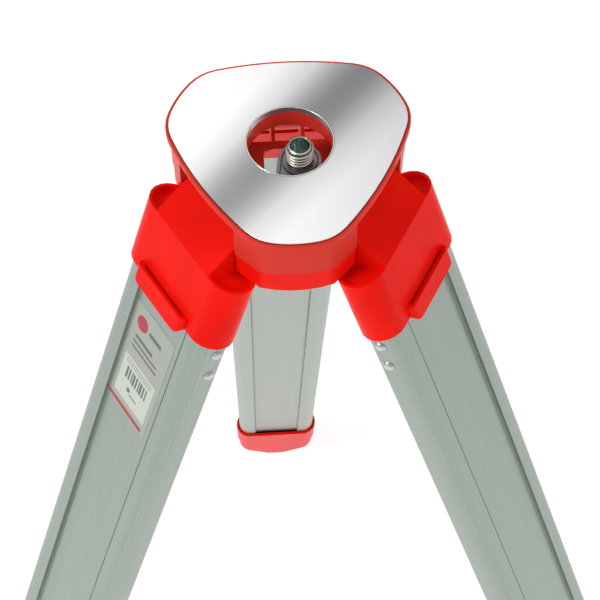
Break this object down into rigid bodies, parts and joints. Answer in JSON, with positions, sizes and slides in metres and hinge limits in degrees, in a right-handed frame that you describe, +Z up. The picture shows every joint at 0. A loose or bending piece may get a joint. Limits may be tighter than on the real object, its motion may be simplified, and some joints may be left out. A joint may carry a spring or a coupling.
{
  "type": "level tripod",
  "caption": "Aluminium tripod for a laser or optical level: flat lobed head with a centring screw, hinged telescopic legs with lever clamps and pointed feet.",
  "frame": {"origin": "on the ground under the middle of the tripod's bounding box, as it stands open with the legs closed up", "axes": "+Z up, +Y towards the back leg, +X towards the right front leg's side"},
  "size_m": [0.9026, 0.7914, 1.281],
  "materials": {
    "plate_aluminium": "brushed, satin",
    "leg_aluminium": "extruded, satin anodised",
    "red_plastic": "moulded nylon, semi-gloss",
    "black_plastic": "moulded, matt",
    "arm_steel": "zinc plated, dull grey",
    "zinc_steel": "zinc plated",
    "plated_steel": "nickel plated"
  },
  "bodies": {
    "head": {"head_plate": "plate_aluminium", "head_body": "red_plastic", "plate_screw_right": "zinc_steel", "plate_screw_left": "zinc_steel", "plate_screw_front": "zinc_steel", "pivot_bolt": "zinc_steel", "hinge_pin_back": "zinc_steel", "hinge_pin_left": "zinc_steel", "hinge_pin_right": "zinc_steel"},
    "pivot_bush": {"pivot_bush": "zinc_steel"},
    "arm": {"centring_arm": "arm_steel"},
    "sleeve": {"screw_sleeve": "arm_steel"},
    "screw": {"centring_screw": "plated_steel", "screw_knob": "red_plastic", "plumb_hook": "zinc_steel"},
    "leg_back": {"leg_bracket_back": "red_plastic", "outer_leg_back": "leg_aluminium", "clamp_housing_back": "red_plastic", "clamp_pin_back": "zinc_steel", "rivet_back_a1": "zinc_steel", "rivet_back_a2": "zinc_steel", "rivet_back_b1": "zinc_steel", "rivet_back_b2": "zinc_steel"},
    "inner_back": {"inner_leg_back": "leg_aluminium", "foot_shoe_back": "red_plastic", "foot_point_back": "zinc_steel"},
    "lever_back": {"clamp_lever_back": "red_plastic"},
    "pad_back": {"clamp_pad_back": "black_plastic"},
    "leg_left": {"leg_bracket_left": "red_plastic", "outer_leg_left": "leg_aluminium", "clamp_housing_left": "red_plastic", "clamp_pin_left": "zinc_steel", "rivet_left_a1": "zinc_steel", "rivet_left_a2": "zinc_steel", "rivet_left_b1": "zinc_steel", "rivet_left_b2": "zinc_steel"},
    "inner_left": {"inner_leg_left": "leg_aluminium", "foot_shoe_left": "red_plastic", "foot_point_left": "zinc_steel"},
    "lever_left": {"clamp_lever_left": "red_plastic"},
    "pad_left": {"clamp_pad_left": "black_plastic"},
    "leg_right": {"leg_bracket_right": "red_plastic", "outer_leg_right": "leg_aluminium", "clamp_housing_right": "red_plastic", "clamp_pin_right": "zinc_steel", "rivet_right_a1": "zinc_steel", "rivet_right_a2": "zinc_steel", "rivet_right_b1": "zinc_steel", "rivet_right_b2": "zinc_steel"},
    "inner_right": {"inner_leg_right": "leg_aluminium", "foot_shoe_right": "red_plastic", "foot_point_right": "zinc_steel"},
    "lever_right": {"clamp_lever_right": "red_plastic"},
    "pad_right": {"clamp_pad_right": "black_plastic"}
  },
  "joints": [
    {"name": "arm_swing", "type": "hinge", "parent": "head", "child": "pivot_bush", "pos_m": [0, -0.15559, 1.26049], "axis": [0, 0, 1], "range_deg": [-2, 17.5]},
    {"name": "arm_slide", "type": "slide", "parent": "pivot_bush", "child": "arm", "axis": [0.1362, 0.9907, 0], "range_m": [-0.007, 0.007]},
    {"name": "screw_lift", "type": "slide", "parent": "arm", "child": "sleeve", "axis": [0, 0, 1], "range_m": [0, 0.012]},
    {"name": "screw_spin", "type": "hinge", "parent": "sleeve", "child": "screw", "pos_m": [0.0055, -0.11559, 1.251], "axis": [0, 0, 1], "continuous": true},
    {"name": "leg_hinge_back", "type": "hinge", "parent": "head", "child": "leg_back", "pos_m": [0, -0.06889, 1.24799], "axis": [1, 0, 0], "range_deg": [-20, 0]},
    {"name": "leg_extend_back", "type": "slide", "parent": "leg_back", "child": "inner_back", "axis": [0, 0.342, -0.9397], "range_m": [0, 0.6]},
    {"name": "clamp_lever_back", "type": "hinge", "parent": "leg_back", "child": "lever_back", "pos_m": [0, 0.36088, 0.14762], "axis": [-1, 0, 0], "range_deg": [0, 100]},
    {"name": "clamp_pad_back", "type": "slide", "parent": "leg_back", "child": "pad_back", "axis": [0, 0.9397, 0.342], "range_m": [0, 0.0008]},
    {"name": "leg_hinge_left", "type": "hinge", "parent": "head", "child": "leg_left", "pos_m": [-0.04044, -0.13894, 1.24799], "axis": [-0.5, 0.866, 0], "range_deg": [-20, 0]},
    {"name": "leg_extend_left", "type": "slide", "parent": "leg_left", "child": "inner_left", "axis": [-0.2962, -0.171, -0.9397], "range_m": [0, 0.6]},
    {"name": "clamp_lever_left", "type": "hinge", "parent": "leg_left", "child": "lever_left", "pos_m": [-0.41263, -0.35382, 0.14762], "axis": [0.5, -0.866, 0], "range_deg": [0, 100]},
    {"name": "clamp_pad_left", "type": "slide", "parent": "leg_left", "child": "pad_left", "axis": [-0.8138, -0.4698, 0.342], "range_m": [0, 0.0008]},
    {"name": "leg_hinge_right", "type": "hinge", "parent": "head", "child": "leg_right", "pos_m": [0.04044, -0.13894, 1.24799], "axis": [-0.5, -0.866, 0], "range_deg": [-20, 0]},
    {"name": "leg_extend_right", "type": "slide", "parent": "leg_right", "child": "inner_right", "axis": [0.2962, -0.171, -0.9397], "range_m": [0, 0.6]},
    {"name": "clamp_lever_right", "type": "hinge", "parent": "leg_right", "child": "lever_right", "pos_m": [0.41263, -0.35382, 0.14762], "axis": [0.5, 0.866, 0], "range_deg": [0, 100]},
    {"name": "clamp_pad_right", "type": "slide", "parent": "leg_right", "child": "pad_right", "axis": [0.8138, -0.4698, 0.342], "range_m": [0, 0.0008]}
  ],
  "couplings": [
    {"joint": "clamp_pad_back", "follows": "clamp_lever_back", "m_per_rad": 0.00045},
    {"joint": "clamp_pad_left", "follows": "clamp_lever_left", "m_per_rad": 0.00045},
    {"joint": "clamp_pad_right", "follows": "clamp_lever_right", "m_per_rad": 0.00045}
  ]
}
